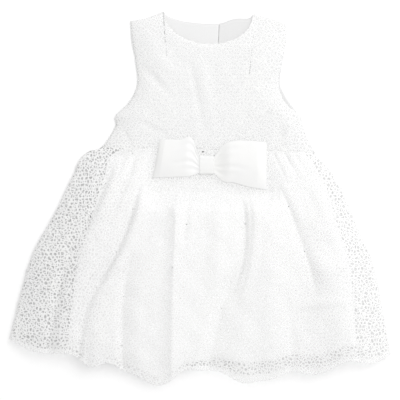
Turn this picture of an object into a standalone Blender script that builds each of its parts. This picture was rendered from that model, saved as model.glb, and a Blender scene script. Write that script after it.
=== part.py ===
"""Flower girl dress, laid flat on its back.

The dress lies on the plane z = 0 with its front up: +X to its right, the neck towards +Y, the hem
towards -Y. Every piece of cloth is a grid bent into the shape of the piece and thickened with
Solidify. All sizes are in metres.
"""

import math
from collections import namedtuple

import bmesh
import bpy
import numpy as np

# ---------------------------------------------------------------------------------------------
# Cloth and layers
# ---------------------------------------------------------------------------------------------

LACE = 0.0012
LINING = 0.0010
SATIN = 0.0010
SEAM_GAP = 0.00035
WAIST_GAP = 0.0008
SIDE_SEAM_GAP = 0.0008

BACK_LINING_Z = LACE + SEAM_GAP
FRONT_LINING_Z = BACK_LINING_Z + LINING + SEAM_GAP
FRONT_EDGE_Z = FRONT_LINING_Z + 0.0001
LACE_OVER_LINING_Z = FRONT_LINING_Z + LINING + SEAM_GAP

# ---------------------------------------------------------------------------------------------
# Outline, as level lines across the dress from its left edge to its right edge.
# down is the share of the way from the shoulder to the waist, or from the waist to the hem.
# front_scoop_left and front_scoop_right say how much deeper the front armholes are cut.
# ---------------------------------------------------------------------------------------------

BodiceLevel = namedtuple(
    "BodiceLevel", "name down left_x left_y right_x right_y front_scoop_left front_scoop_right"
)
BODICE_LEVELS = [
    BodiceLevel("shoulder tips", 0.00, -0.0960, 0.2495, 0.1212, 0.2434, 0.0, 0.0),
    BodiceLevel("upper armhole", 0.15, -0.0940, 0.2230, 0.1205, 0.2190, 0.0, 0.0),
    BodiceLevel("middle armhole", 0.33, -0.0886, 0.1924, 0.1150, 0.1882, 0.0, 0.0005),
    BodiceLevel("lower armhole", 0.52, -0.0872, 0.1575, 0.1132, 0.1575, 0.0005, 0.0025),
    BodiceLevel("armhole curve", 0.65, -0.0990, 0.1352, 0.1255, 0.1352, 0.0010, 0.0055),
    BodiceLevel("underarm", 0.76, -0.1178, 0.1150, 0.1401, 0.1157, 0.0, 0.0),
    BodiceLevel("underarm notch", 0.82, -0.1158, 0.1055, 0.1432, 0.1050, 0.0, 0.0),
    BodiceLevel("side seam", 0.90, -0.1238, 0.0900, 0.1480, 0.0885, 0.0, 0.0),
    BodiceLevel("waist", 1.00, -0.1345, 0.0732, 0.1600, 0.0669, 0.0, 0.0),
]

SkirtLevel = namedtuple("SkirtLevel", "name down left_x left_y right_x right_y")
SKIRT_LEVELS = [
    SkirtLevel("waist", 0.00, -0.1345, 0.0732, 0.1600, 0.0669),
    SkirtLevel("hip", 0.04, -0.1560, 0.0655, 0.1690, 0.0565),
    SkirtLevel("high hip", 0.15, -0.1755, 0.0340, 0.1925, 0.0251),
    SkirtLevel("thigh", 0.35, -0.2015, -0.0188, 0.2165, -0.0307),
    SkirtLevel("middle", 0.55, -0.2305, -0.0711, 0.2405, -0.0864),
    SkirtLevel("low", 0.76, -0.2478, -0.1255, 0.2535, -0.1450),
    SkirtLevel("hem", 1.00, -0.2648, -0.1935, 0.2660, -0.2119),
]

# Neck: the straps end at these shares of the shoulder line, measured from the left tip.
LEFT_STRAP = 0.213
RIGHT_STRAP = 0.787
NECK_TIP_RISE = 0.0145
LEFT_SHOULDER_CURVE = 1.6
RIGHT_SHOULDER_CURVE = 0.8
FRONT_NECK_DEPTH = 0.0440
BACK_NECK_DEPTH = 0.0150
NECK_REACH = 0.58
BACK_NECK_LIFT = 0.0050
BACK_NECK_LIFT_AT = 0.60

# Centre back: where its two halves meet, as a share of the width.
CENTRE_BACK_AT_NECK = 0.568
CENTRE_BACK_AT_WAIST = 0.510
CENTRE_BACK_GAP = 0.0004

# Hem: it sags between its corners, and each wave hangs lower by its drop.
HEM_SAG = 0.0345
HemWave = namedtuple("HemWave", "name across drop half_width")
HEM_WAVES = [
    HemWave("left corner", 0.070, 0.0085, 0.090),
    HemWave("left tuck", 0.215, 0.0120, 0.055),
    HemWave("slope of the large lobe", 0.325, 0.0130, 0.080),
    HemWave("large lobe", 0.395, 0.0240, 0.075),
    HemWave("middle lobe", 0.622, 0.0180, 0.085),
    HemWave("step of the middle lobe", 0.695, 0.0125, 0.062),
    HemWave("right swell", 0.805, 0.0130, 0.100),
    HemWave("right corner", 0.955, 0.0105, 0.075),
]

# ---------------------------------------------------------------------------------------------
# Heights
# ---------------------------------------------------------------------------------------------

WAIST_RISE = 0.0062
CHEST_RISE = 0.0078
BODICE_ROUNDING = 0.045
SHOULDER_REACH = 0.36

SKIRT_PUFF = 0.0090
SKIRT_ROUNDING = 0.070
SIDE_LIP_RISE = 0.0030
SIDE_LIP_WIDTH = 0.014
LINING_SHARE = 0.65
LINING_ROUNDING = 0.045

# Folds of the front skirt, from the left side to the right one. A fold's line runs at these
# shares of the width at five even heights from the waist to the hem. start and end are shares of
# the way down, half widths are at the waist and at the hem, and a negative rise is a trough. lean
# widens a fold's right side and narrows its left one, and sharp turns its round back into an edge.
Fold = namedtuple("Fold", "name waist upper middle lower hem start end waist_half hem_half lean sharp rise")
SKIRT_FOLDS = [
    Fold("left side gather", .130, .112, .095, .078, .060, 0.04, 0.26, 0.008, 0.014, 0, 0, -.0030),
    Fold("broad left panel", .168, .153, .150, .148, .148, 0.02, 1.10, 0.020, 0.036, 0.2, 0, .0045),
    Fold("left crease", .270, .255, .239, .188, .182, 0.10, 1.10, 0.012, 0.015, -0.5, 0.6, -.0034),
    Fold("ridge by the crease", .320, .283, .262, .214, .225, 0.12, 1.10, 0.012, 0.022, 0.4, 0, .0028),
    Fold("left middle trough", .295, .290, .284, .280, .298, 0.46, 1.10, 0.014, 0.020, 0.4, 0.6, -.0048),
    Fold("middle panel", .379, .395, .410, .418, .426, 0.16, 1.10, 0.026, 0.040, 0.4, 1, .0050),
    Fold("ridge under the bow", .545, .545, .540, .540, .540, 0.15, 0.75, 0.016, 0.024, 0, 0, .0020),
    Fold("right crease", .565, .631, .621, .566, .530, 0.05, 0.70, 0.012, 0.012, -0.5, 0.6, -.0036),
    Fold("ridge past the crease", .600, .668, .648, .600, .560, 0.06, 0.74, 0.010, 0.012, 0.4, 0, .0016),
    Fold("right hem trough", .679, .639, .599, .553, .520, 0.52, 1.10, 0.020, 0.034, 0.4, 0.5, -.0066),
    Fold("broad right panel", .700, .705, .705, .700, .690, 0.06, 1.00, 0.038, 0.040, 0, 0, .0042),
    Fold("right valley", .732, .786, .812, .824, .829, 0.12, 0.72, 0.008, 0.026, 0, 1, -.0034),
    Fold("right side panel", .900, .910, .925, .930, .930, 0.10, 1.10, 0.014, 0.024, 0, 0, .0020),
    Fold("right corner puff", .880, .880, .880, .885, .890, 0.44, 1.20, 0.045, 0.052, 0, 0, .0058),
]
FOLD_STATIONS = (0, 0.25, 0.5, 0.75, 1)
FOLD_FADE = 0.14
GUIDE_FOLDS = ("left crease", "middle panel", "right crease", "right valley")

# Gathers: small even ripples that die out below the waist seam.
GATHER_COUNT = 13
GATHER_RISE = 0.0011
GATHER_REACH = 0.20

# Creases of the front bodice, in the plane of the dress: ends, half width and rise.
Crease = namedtuple("Crease", "name start_x start_y end_x end_y half_width rise")
BODICE_CREASES = [
    Crease("left armhole crease", -0.0840, 0.1900, -0.0440, 0.1500, 0.012, -0.0020),
    Crease("right waist hollow", 0.1180, 0.1050, 0.1080, 0.0780, 0.014, -0.0022),
]

# Lining of the skirt, in shares of the lace skirt's width and length.
LINING_LEFT_AT_WAIST = 0.110
LINING_LEFT_AT_HEM = 0.150
LINING_RIGHT_AT_WAIST = 0.952
LINING_RIGHT_AT_HEM = 0.918
LINING_LENGTH = 0.935
BACK_SKIRT_LENGTH = 0.985

# The front lining hangs lower on the left, and follows the hem's waves closer there.
LEFT_LINING_EXTRA = 0.040
LEFT_LINING_ENDS = (0.44, 0.62)
LINING_WAVES = (1.0, 0.8)

# ---------------------------------------------------------------------------------------------
# Bow: each loop is a band that runs out along the skirt, turns over and comes back on top.
# ---------------------------------------------------------------------------------------------

# slant is how much farther right the upper edge lies than the middle of the band.
BowStation = namedtuple("BowStation", "name out x centre_y half_height slant")
LEFT_LOOP = [
    BowStation("in the knot", 0.00, 0.0045, 0.0488, 0.0108, 0.0),
    BowStation("knot's mouth", 0.08, -0.0008, 0.0490, 0.0116, 0.0),
    BowStation("shoulder", 0.21, -0.0091, 0.0572, 0.0234, 0.0015),
    BowStation("middle", 0.60, -0.0332, 0.0578, 0.0262, 0.0038),
    BowStation("end", 1.00, -0.0597, 0.0578, 0.0271, 0.0050),
]
RIGHT_LOOP = [
    BowStation("in the knot", 0.00, 0.0150, 0.0488, 0.0108, 0.0),
    BowStation("knot's mouth", 0.08, 0.0203, 0.0486, 0.0116, 0.0),
    BowStation("shoulder", 0.21, 0.0314, 0.0509, 0.0244, 0.0),
    BowStation("high shoulder", 0.41, 0.0467, 0.0530, 0.0292, 0.0),
    BowStation("middle", 0.70, 0.0700, 0.0500, 0.0325, 0.0),
    BowStation("end", 1.00, 0.0930, 0.0470, 0.0330, 0.0),
]
KNOT_Z = 0.0159
LEFT_LOOP_Z = 0.0115
RIGHT_LOOP_Z = 0.0130
LOOP_GAP_AT_KNOT = 0.0028
KNOT_MOUTH = 0.08
LOOP_FULL = 0.50
LEFT_LOOP_TURN = 0.06
RIGHT_LOOP_TURN = 0.16
LEFT_LOOP_PUFF = 0.0085
RIGHT_LOOP_PUFF = 0.0107
BOW_BED_Z = FRONT_EDGE_Z + WAIST_RISE
BOW_PRESS = 0.95
BOW_MARGIN = 0.016

KNOT_X = 0.0098
KNOT_Y = 0.0488
KNOT_HALF_LENGTH = 0.0098
KNOT_HALF_HEIGHT = 0.0130
KNOT_HALF_DEPTH = 0.0036
KNOT_WAIST = 0.94

# ---------------------------------------------------------------------------------------------
# Grid sizes: columns across and rows down
# ---------------------------------------------------------------------------------------------

FRONT_SKIRT_GRID = (52, 13)
BACK_SKIRT_GRID = (28, 9)
FRONT_LINING_GRID = (26, 9)
BACK_LINING_GRID = (14, 6)
STRAP_COLUMNS = 4
NECK_COLUMNS = 10
BODICE_ROWS = 12
BACK_BODICE_ROWS = 10
LOOP_OUTS = (0, 0.08, 0.21, 0.36, 0.52, 0.68, 0.84, 0.94, 1)
LOOP_ROWS = 6
KNOT_SIDES = 20

Colour = namedtuple("Colour", "red green blue roughness")
LACE_WHITE = Colour(0.93, 0.93, 0.92, 0.85)
LINING_WHITE = Colour(0.91, 0.91, 0.91, 0.65)
SATIN_WHITE = Colour(0.94, 0.94, 0.93, 0.40)


# ---------------------------------------------------------------------------------------------
# Curves and steps
# ---------------------------------------------------------------------------------------------

def cubic(stations, values, share):
    """Value at a share between the stations: a smooth cubic through the values."""
    slopes = np.gradient(values, stations)
    share = np.clip(share, stations[0], stations[-1])
    index = np.clip(np.searchsorted(stations, share) - 1, 0, len(stations) - 2)
    length = stations[index + 1] - stations[index]
    part = (share - stations[index]) / length
    rise = values[index + 1] - values[index]
    straight = values[index] + rise * part
    start_error = slopes[index] * length - rise
    end_error = rise - slopes[index + 1] * length
    bow = part * (1 - part) * (start_error * (1 - part) + end_error * part)
    return straight + bow


def along(rows, station, column, share):
    """Value of a table's column at a share of the way down or out."""
    stations = np.array([getattr(row, station) for row in rows])
    values = np.array([getattr(row, column) for row in rows])
    return cubic(stations, values, share)


def smooth_step(start, end, value):
    """0 before start, 1 after end, and a soft S between them."""
    part = np.clip((value - start) / (end - start), 0, 1)
    return part * part * (3 - 2 * part)


def rounded(distance, reach):
    """0 at an edge, 1 at reach from it: steep at the edge and level at the end."""
    part = np.clip(distance / reach, 0, 1)
    return 1 - (1 - part) ** 2.2


def bump(distance, half_width):
    """A soft ridge: 1 on its line, 0 from half_width away."""
    part = np.clip(np.abs(distance) / half_width, 0, 1)
    return 0.5 + 0.5 * np.cos(math.pi * part)


def mixed(first, second, share):
    return first + (second - first) * share


def squared_off(value):
    """Turns a circle's cosine or sine into that of a boxier round."""
    return math.copysign(abs(value) ** 0.7, value)


# ---------------------------------------------------------------------------------------------
# Bodice
# ---------------------------------------------------------------------------------------------

def bodice_plan(across, down, neck_depth, scooped):
    """Place in the plane: level lines from edge to edge, with the shoulders and the neck on top."""
    left_x = along(BODICE_LEVELS, "down", "left_x", down)
    left_y = along(BODICE_LEVELS, "down", "left_y", down)
    right_x = along(BODICE_LEVELS, "down", "right_x", down)
    right_y = along(BODICE_LEVELS, "down", "right_y", down)
    if scooped:
        left_x = left_x + along(BODICE_LEVELS, "down", "front_scoop_left", down)
        right_x = right_x - along(BODICE_LEVELS, "down", "front_scoop_right", down)
    x = mixed(left_x, right_x, across)
    y = mixed(left_y, right_y, across)
    left_shoulder = np.clip(across / LEFT_STRAP, 0, 1) ** LEFT_SHOULDER_CURVE
    right_shoulder = np.clip((1 - across) / (1 - RIGHT_STRAP), 0, 1) ** RIGHT_SHOULDER_CURVE
    from_middle = neck_offset(across)
    top = NECK_TIP_RISE * left_shoulder * right_shoulder - neck_depth * np.sqrt(1 - from_middle ** 2)
    if not scooped:
        top = top + BACK_NECK_LIFT * bump(from_middle - BACK_NECK_LIFT_AT, 1 - BACK_NECK_LIFT_AT)
    return x, y + top * (1 - np.clip(down / NECK_REACH, 0, 1))


def neck_offset(across):
    """-1 at the left neck tip, 0 in the middle of the neck, 1 at the right neck tip."""
    middle = (LEFT_STRAP + RIGHT_STRAP) / 2
    half = (RIGHT_STRAP - LEFT_STRAP) / 2
    return np.clip((across - middle) / half, -1, 1)


def bodice_width(down):
    return along(BODICE_LEVELS, "down", "right_x", down) - along(BODICE_LEVELS, "down", "left_x", down)


def crease_rise(x, y):
    """Sum of the bodice's creases: each a soft trough along a short line, fading at its ends."""
    total = np.zeros_like(x)
    for crease in BODICE_CREASES:
        run_x = crease.end_x - crease.start_x
        run_y = crease.end_y - crease.start_y
        length = math.hypot(run_x, run_y)
        part = ((x - crease.start_x) * run_x + (y - crease.start_y) * run_y) / length ** 2
        aside = ((x - crease.start_x) * run_y - (y - crease.start_y) * run_x) / length
        ends = bump(part - 0.5, 0.8)
        total = total + crease.rise * bump(aside, crease.half_width) * ends
    return total


def front_bodice(across, down):
    """The front bodice: seams down on the back, its middle raised and its neckline gaping."""
    x, y = bodice_plan(across, down, FRONT_NECK_DEPTH, scooped=True)
    side = np.minimum(across, 1 - across) * bodice_width(down)
    gape = (1 - neck_offset(across) ** 2) ** 0.6
    from_shoulder = 1 - (1 - gape) * (1 - np.clip(down / SHOULDER_REACH, 0, 1)) ** 2
    rise = mixed(CHEST_RISE, WAIST_RISE, smooth_step(0.45, 1.0, down))
    height = rounded(side, BODICE_ROUNDING) * from_shoulder
    return x, y, FRONT_EDGE_Z + height * (rise + crease_rise(x, y))


def back_bodice(half, layer_z, inset):
    """One half of the back bodice or its lining, flat, up to the centre-back line."""
    def surface(across, down):
        width = bodice_width(down)
        centre = mixed(CENTRE_BACK_AT_NECK, CENTRE_BACK_AT_WAIST, down)
        edge = inset / width
        gap = (CENTRE_BACK_GAP / 2 + inset / 2) / width
        if half == "left":
            share = np.where(
                across < 0.5,
                mixed(edge, LEFT_STRAP, across * 2),
                mixed(LEFT_STRAP, centre - gap, across * 2 - 1),
            )
        else:
            share = np.where(
                across < 0.5,
                mixed(centre + gap, RIGHT_STRAP, across * 2),
                mixed(RIGHT_STRAP, 1 - edge, across * 2 - 1),
            )
        x, y = bodice_plan(share, down, BACK_NECK_DEPTH, scooped=False)
        y = y - inset * (1 - smooth_step(0, 0.3, down))
        return x, y, np.full_like(x, layer_z)
    return surface


# ---------------------------------------------------------------------------------------------
# Skirt
# ---------------------------------------------------------------------------------------------

def skirt_plan(across, down, wave_share=1.0):
    """Place in the plane: level lines that sag and wave more and more towards the hem."""
    left_x = along(SKIRT_LEVELS, "down", "left_x", down)
    left_y = along(SKIRT_LEVELS, "down", "left_y", down)
    right_x = along(SKIRT_LEVELS, "down", "right_x", down)
    right_y = along(SKIRT_LEVELS, "down", "right_y", down)
    sag = HEM_SAG * 4 * across * (1 - across) * down ** 1.5
    waves = sum(wave.drop * bump(across - wave.across, wave.half_width) for wave in HEM_WAVES)
    x = mixed(left_x, right_x, across)
    y = mixed(left_y, right_y, across) - sag - wave_share * waves * down ** 3 - WAIST_GAP
    return x, y


def skirt_width(down):
    return along(SKIRT_LEVELS, "down", "right_x", down) - along(SKIRT_LEVELS, "down", "left_x", down)


def side_distance(across, down):
    return np.minimum(across, 1 - across) * skirt_width(down)


def side_lip(across, down):
    """How far the back skirt curls up towards its side seams."""
    part = np.clip(1 - side_distance(across, down) / SIDE_LIP_WIDTH, 0, 1)
    return SIDE_LIP_RISE * smooth_step(0, 0.12, down) * part ** 2


def fold_line(fold, down):
    """Share of the width at which a fold lies."""
    places = (fold.waist, fold.upper, fold.middle, fold.lower, fold.hem)
    return cubic(np.array(FOLD_STATIONS), np.array(places), down)


def fold_shape(distance, half, lean, sharp):
    """1 on a fold's line and 0 at its sides, which lean makes uneven."""
    side = np.where(distance < 0, 1 - lean, 1 + lean)
    part = np.clip(np.abs(distance) / (half * side), 0, 1)
    return (1 - part) ** 2 * (1 + 2 * (1 - sharp) * part)


def fold_rise(across, down):
    """Sum of the skirt's folds: each a ridge or trough that starts and ends softly."""
    width = skirt_width(down)
    total = np.zeros_like(across)
    for fold in SKIRT_FOLDS:
        distance = (across - fold_line(fold, down)) * width
        half = mixed(fold.waist_half, fold.hem_half, down)
        begins = smooth_step(fold.start, fold.start + FOLD_FADE, down)
        fades = 1 - smooth_step(fold.end - FOLD_FADE, fold.end, down)
        shape = fold_shape(distance, half, fold.lean, fold.sharp)
        total = total + fold.rise * shape * begins * fades
    return total


def gather_rise(across, down):
    ripple = np.cos(2 * math.pi * GATHER_COUNT * across)
    fade = smooth_step(0, 0.04, down) * (1 - smooth_step(0.05, GATHER_REACH, down))
    return GATHER_RISE * ripple * fade


def under_bow(x, y):
    """1 where the bow presses on the skirt, 0 away from it."""
    left = LEFT_LOOP[-1].x - BOW_MARGIN
    right = RIGHT_LOOP[-1].x + BOW_MARGIN
    low = RIGHT_LOOP[-1].centre_y - RIGHT_LOOP[-1].half_height - BOW_MARGIN
    inside_x = smooth_step(left - BOW_MARGIN, left + BOW_MARGIN, x)
    inside_x = inside_x * (1 - smooth_step(right - BOW_MARGIN, right + BOW_MARGIN, x))
    return inside_x * smooth_step(low - BOW_MARGIN, low + BOW_MARGIN, y)


def front_skirt_height(across, down, x, y):
    """Underside of the front skirt: rounded sides, a puff below the waist, folds and gathers."""
    side = rounded(side_distance(across, down), SKIRT_ROUNDING)
    lip = SIDE_LIP_RISE * smooth_step(0, 0.12, down)
    edge = np.maximum(FRONT_EDGE_Z, lip + LACE + SIDE_SEAM_GAP)
    puff = SKIRT_PUFF * smooth_step(0, 0.35, down)
    shape = puff + fold_rise(across, down) * smooth_step(0, 0.2, down) + gather_rise(across, down)
    waist = rounded(side_distance(across, down), mixed(BODICE_ROUNDING, SKIRT_ROUNDING, down))
    height = edge + waist * WAIST_RISE + side * shape
    return mixed(height, np.minimum(height, BOW_BED_Z), BOW_PRESS * under_bow(x, y))


def fan(column, down):
    """Turns an even column into a share of the width, so that a column runs along each main fold."""
    columns = FRONT_SKIRT_GRID[0]
    starts = [0.0]
    lines = [np.zeros_like(down)]
    for fold in SKIRT_FOLDS:
        if fold.name in GUIDE_FOLDS:
            starts.append(round(fold.middle * columns) / columns)
            lines.append(fold_line(fold, down))
    starts.append(1.0)
    lines.append(np.ones_like(down))
    share = np.zeros_like(column)
    for index in range(len(starts) - 1):
        part = (column - starts[index]) / (starts[index + 1] - starts[index])
        share = np.where(part >= 0, mixed(lines[index], lines[index + 1], np.minimum(part, 1)), share)
    return share


def front_skirt(column, down):
    across = fan(column, down)
    x, y = skirt_plan(across, down)
    return x, y, front_skirt_height(across, down, x, y)


def back_skirt(across, down):
    """The back skirt: flat where it lies, curling up at the sides, a little short at the hem."""
    x, y = skirt_plan(across, down * BACK_SKIRT_LENGTH, wave_share=0.7)
    return x, y, side_lip(across, down * BACK_SKIRT_LENGTH)


def lining_share(across, down):
    """Share of the lace skirt's width at which a point of the narrower lining lies."""
    left = mixed(LINING_LEFT_AT_WAIST, LINING_LEFT_AT_HEM, down)
    right = mixed(LINING_RIGHT_AT_WAIST, LINING_RIGHT_AT_HEM, down)
    return mixed(left, right, across)


def front_skirt_lining(across, down):
    """The front lining: a set share of the height of the lace over it, down on the back at its sides."""
    share = lining_share(across, down)
    right = smooth_step(*LEFT_LINING_ENDS, share)
    reach = down * (LINING_LENGTH + LEFT_LINING_EXTRA * (1 - right))
    x, y = skirt_plan(share, reach, wave_share=mixed(*LINING_WAVES, right))
    lace_x, lace_y = skirt_plan(share, reach)
    lace = front_skirt_height(share, reach, lace_x, lace_y)
    side = np.minimum(across, 1 - across) * skirt_width(reach) * (LINING_RIGHT_AT_HEM - LINING_LEFT_AT_HEM)
    rise = LINING_SHARE * (lace - LACE_OVER_LINING_Z)
    return x, y, FRONT_LINING_Z + rounded(side, LINING_ROUNDING) * rise


def back_skirt_lining(across, down):
    share = lining_share(across, down)
    x, y = skirt_plan(share, down * LINING_LENGTH, wave_share=0.6)
    return x, y, np.full_like(x, BACK_LINING_Z)


# ---------------------------------------------------------------------------------------------
# Bow
# ---------------------------------------------------------------------------------------------

def bow_loop(stations, rest_z, puff, turn_share):
    """A folded band: it goes out below, rounds the end and comes back on top, puffed between."""
    outward = math.copysign(1.0, stations[-1].x - stations[0].x)

    def surface(across, down):
        turn = 2 * across - 1 if outward > 0 else 1 - 2 * across
        out = 1 - np.abs(turn) ** 1.6
        level = 1 - 2 * down
        x = along(stations, "out", "x", out) + along(stations, "out", "slant", out) * level
        centre_y = along(stations, "out", "centre_y", out)
        half = along(stations, "out", "half_height", out)
        swell = smooth_step(KNOT_MOUTH, LOOP_FULL, out)
        turnover = np.sqrt(np.clip((1 - out) / turn_share, 0, 1))
        opening = (LOOP_GAP_AT_KNOT / 2 + puff / 2 * swell) * turnover
        middle = mixed(KNOT_Z, rest_z + (puff + LOOP_GAP_AT_KNOT) / 2, swell)
        z = middle + np.sign(turn) * opening
        return x, centre_y + half * level, z
    return surface


def loop_stations():
    """Columns along the band, with one at the knot's mouth on both layers."""
    turn = (1 - np.array(LOOP_OUTS)) ** (1 / 1.6)
    return np.concatenate([0.5 - turn / 2, 0.5 + turn[-2::-1] / 2])


def add_knot(collection, material):
    """The knot: a band round the inner ends of both loops, a little narrower in its middle."""
    mesh = bpy.data.meshes.new("bow_knot")
    shape = bmesh.new()
    bmesh.ops.create_cone(
        shape, cap_ends=False, segments=KNOT_SIDES, radius1=1, radius2=1, depth=2
    )
    bmesh.ops.subdivide_edges(
        shape, edges=[edge for edge in shape.edges if abs(edge.verts[0].co.z - edge.verts[1].co.z) > 1],
        cuts=1, use_grid_fill=True
    )
    for vertex in shape.verts:
        around_y = squared_off(vertex.co.x)
        around_z = squared_off(vertex.co.y)
        length = vertex.co.z
        waist = mixed(KNOT_WAIST, 1.0, length ** 2)
        vertex.co.x = KNOT_X + length * KNOT_HALF_LENGTH
        vertex.co.y = KNOT_Y + around_y * KNOT_HALF_HEIGHT * waist
        vertex.co.z = KNOT_Z + around_z * KNOT_HALF_DEPTH
    bmesh.ops.recalc_face_normals(shape, faces=shape.faces)
    shape.to_mesh(mesh)
    shape.free()
    thicken(bpy.data.objects.new("bow_knot", mesh), SATIN, collection, material)


# ---------------------------------------------------------------------------------------------
# Making the pieces
# ---------------------------------------------------------------------------------------------

def even_stations(count):
    return np.linspace(0, 1, count + 1)


def front_bodice_stations():
    """Even columns on each strap and across the neck, with a column on each neck tip."""
    left = np.linspace(0, LEFT_STRAP, STRAP_COLUMNS + 1)
    neck_angle = np.linspace(-math.pi / 2, math.pi / 2, NECK_COLUMNS + 1)
    neck = (LEFT_STRAP + RIGHT_STRAP) / 2 + (RIGHT_STRAP - LEFT_STRAP) / 2 * np.sin(neck_angle)
    right = np.linspace(RIGHT_STRAP, 1, STRAP_COLUMNS + 1)
    return np.concatenate([left, neck[1:], right[1:]])


def cloth_material(name, colour):
    material = bpy.data.materials.new(name)
    material.use_nodes = True
    shader = material.node_tree.nodes["Principled BSDF"]
    shader.inputs["Base Color"].default_value = (colour.red, colour.green, colour.blue, 1)
    shader.inputs["Roughness"].default_value = colour.roughness
    shader.inputs["Metallic"].default_value = 0
    material.diffuse_color = (colour.red, colour.green, colour.blue, 1)
    return material


def thicken(piece, thickness, collection, material):
    """Give an open surface its wall, on the side that its faces look to."""
    piece.data.materials.append(material)
    piece.data.shade_smooth()
    wall = piece.modifiers.new("wall", "SOLIDIFY")
    wall.thickness = thickness
    wall.offset = 1
    wall.use_even_offset = True
    collection.objects.link(piece)


def add_panel(name, surface, stations, rows, thickness, collection, material):
    """A grid bent into a piece of cloth: surface gives a point for each share across and down."""
    columns = len(stations) - 1
    shape = bmesh.new()
    bmesh.ops.create_grid(shape, x_segments=columns, y_segments=rows, size=0.5)
    flat = np.array([vertex.co[:2] for vertex in shape.verts])
    across = np.interp(flat[:, 0] + 0.5, even_stations(columns), stations)
    x, y, z = surface(across, 0.5 - flat[:, 1])
    for vertex, place in zip(shape.verts, zip(x, y, z)):
        vertex.co = place
    mesh = bpy.data.meshes.new(name)
    shape.to_mesh(mesh)
    shape.free()
    thicken(bpy.data.objects.new(name, mesh), thickness, collection, material)


def build_bodice(collection):
    add_panel(
        "front_bodice", front_bodice, front_bodice_stations(), BODICE_ROWS, LACE,
        collection, cloth_material("front bodice lace", LACE_WHITE),
    )
    for half in ("left", "right"):
        columns = even_stations(2 * STRAP_COLUMNS)
        add_panel(
            "back_bodice_" + half, back_bodice(half, 0.0, 0.0), columns, BACK_BODICE_ROWS, LACE,
            collection, cloth_material(half + " back lace", LACE_WHITE),
        )
        add_panel(
            "back_bodice_lining_" + half, back_bodice(half, BACK_LINING_Z, 0.0008), columns,
            BACK_BODICE_ROWS, LINING, collection, cloth_material(half + " back lining", LINING_WHITE),
        )


def build_skirt(collection):
    panels = [
        ("front_skirt", front_skirt, FRONT_SKIRT_GRID, LACE, LACE_WHITE),
        ("back_skirt", back_skirt, BACK_SKIRT_GRID, LACE, LACE_WHITE),
        ("front_skirt_lining", front_skirt_lining, FRONT_LINING_GRID, LINING, LINING_WHITE),
        ("back_skirt_lining", back_skirt_lining, BACK_LINING_GRID, LINING, LINING_WHITE),
    ]
    for name, surface, (columns, rows), thickness, colour in panels:
        material = cloth_material(name.replace("_", " "), colour)
        add_panel(name, surface, even_stations(columns), rows, thickness, collection, material)


def build_bow(collection):
    loops = [
        ("bow_left_loop", bow_loop(LEFT_LOOP, LEFT_LOOP_Z, LEFT_LOOP_PUFF, LEFT_LOOP_TURN)),
        ("bow_right_loop", bow_loop(RIGHT_LOOP, RIGHT_LOOP_Z, RIGHT_LOOP_PUFF, RIGHT_LOOP_TURN)),
    ]
    for name, surface in loops:
        material = cloth_material(name.replace("_", " ") + " satin", SATIN_WHITE)
        add_panel(name, surface, loop_stations(), LOOP_ROWS, SATIN, collection, material)
    add_knot(collection, cloth_material("bow knot satin", SATIN_WHITE))


def main():
    for old in list(bpy.data.objects):
        bpy.data.objects.remove(old)
    collection = bpy.data.collections.new("flower_girl_dress")
    bpy.context.scene.collection.children.link(collection)
    build_bodice(collection)
    build_skirt(collection)
    build_bow(collection)


main()
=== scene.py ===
# %% [markdown]
# # A flower girl dress, laid flat on its back
#
# The dress is a sleeveless lace bodice on a gathered lace skirt, lined with smooth white cloth,
# with a soft satin bow on the waist seam. It lies front up on a pale surface, seen from above:
# +X is to the right, +Y is towards the neck, and every length is in metres.
#
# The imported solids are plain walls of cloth, and this script lays the fine cloth on the same
# form. A panel is a function of two shares, across and down, worked out on a grid as whole
# arrays, so one formula gives the sheet, the lace on it and its stitches.

# %% Load the frame
import math
from collections import namedtuple

import bpy
import numpy as np
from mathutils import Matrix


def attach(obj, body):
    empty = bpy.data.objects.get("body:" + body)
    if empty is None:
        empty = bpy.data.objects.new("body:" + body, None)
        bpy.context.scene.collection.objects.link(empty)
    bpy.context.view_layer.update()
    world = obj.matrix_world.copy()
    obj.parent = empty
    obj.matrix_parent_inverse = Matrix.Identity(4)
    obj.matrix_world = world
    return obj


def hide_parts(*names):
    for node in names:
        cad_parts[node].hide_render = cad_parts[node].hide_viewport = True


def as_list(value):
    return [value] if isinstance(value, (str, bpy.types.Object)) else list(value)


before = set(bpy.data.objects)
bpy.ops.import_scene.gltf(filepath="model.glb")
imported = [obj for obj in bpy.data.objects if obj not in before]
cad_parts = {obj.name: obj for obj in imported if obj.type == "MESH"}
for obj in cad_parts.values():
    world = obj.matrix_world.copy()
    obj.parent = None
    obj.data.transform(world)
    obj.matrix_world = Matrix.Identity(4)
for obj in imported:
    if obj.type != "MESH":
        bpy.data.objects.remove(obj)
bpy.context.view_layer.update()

# %% [markdown]
# ## Camera and light
#
# The dress is seen from straight above. A long lens far away shows the raised folds where they
# are, almost as an orthographic camera would, and still frames other views.

# %% Camera
FRAME_WIDTH = 0.5576
LENS = 400.0
SENSOR = 36.0
FAR_LIMIT = 50
AIM = (0.0007, 0.0)

camera_data = bpy.data.cameras.new("camera")
camera_data.lens, camera_data.sensor_width, camera_data.clip_end = LENS, SENSOR, FAR_LIMIT
camera = bpy.data.objects.new("camera", camera_data)
bpy.context.scene.collection.objects.link(camera)
camera.location = (AIM[0], AIM[1], FRAME_WIDTH * LENS / SENSOR)
bpy.context.scene.camera = camera
print("camera height", round(camera.location.z, 3))

# %% [markdown]
# White cloth on a white ground shows only by its shading, so the light is mostly a bright pale
# sky, which fills every fold, and one wide lamp from the upper right that shades their sides.
# Light passes between thin white layers many times, which takes more bounces than usual. The
# Standard view transform keeps white as white.

# %% Sky and lamp
SKY = 0.86
LAMP_PLACE = (1.10, 1.00, 1.60)
LAMP_SIZE = 1.6
LAMP_POWER = 23.0
LIGHT_BOUNCES = 10

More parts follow.
